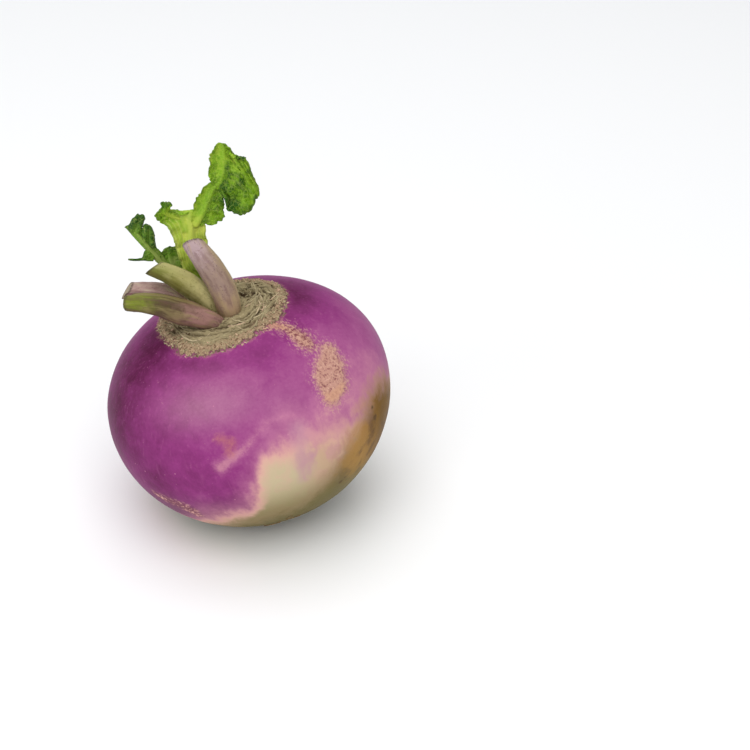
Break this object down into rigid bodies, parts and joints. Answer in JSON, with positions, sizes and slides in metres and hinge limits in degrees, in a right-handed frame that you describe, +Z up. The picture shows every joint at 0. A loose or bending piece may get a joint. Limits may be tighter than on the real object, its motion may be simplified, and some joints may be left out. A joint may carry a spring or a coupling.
{
  "type": "turnip",
  "caption": "Purple-topped turnip lying as set down: a broad round root with a ringed corky crown, short cut leaf stalks and small young leaves.",
  "frame": {"origin": "centre of the small flat that the root rests on", "axes": "+Z up; the growing axis leans 13 degrees from +Z towards -X; -Y is the side with the front leaf stalk and the cream patch"},
  "size_m": [0.0832, 0.084, 0.1142],
  "materials": {
    "root_skin": "smooth waxy root skin, purple over cream, with a rough corky crown",
    "stalk_mauve": "fresh leaf stalk, finely ribbed, mauve over grey-green",
    "stalk_olive": "fresh leaf stalk, finely ribbed, olive green",
    "stalk_rose": "fresh leaf stalk, finely ribbed, dusty rose",
    "stalk_front": "fresh leaf stalk, finely ribbed, green at its cut end and mauve-brown at its foot",
    "leaf_bright": "thin crinkled young leaf, yellow-green with pale veins",
    "leaf_dark": "thin crinkled young leaf, mid to dark green with a pale rib"
  },
  "bodies": {
    "root": {"bulb": "root_skin", "petiole_tall": "stalk_mauve", "petiole_middle": "stalk_olive", "petiole_rear": "stalk_rose", "petiole_front": "stalk_front", "leaf_tall": "leaf_bright", "leaf_low": "leaf_dark"}
  },
  "joints": []
}
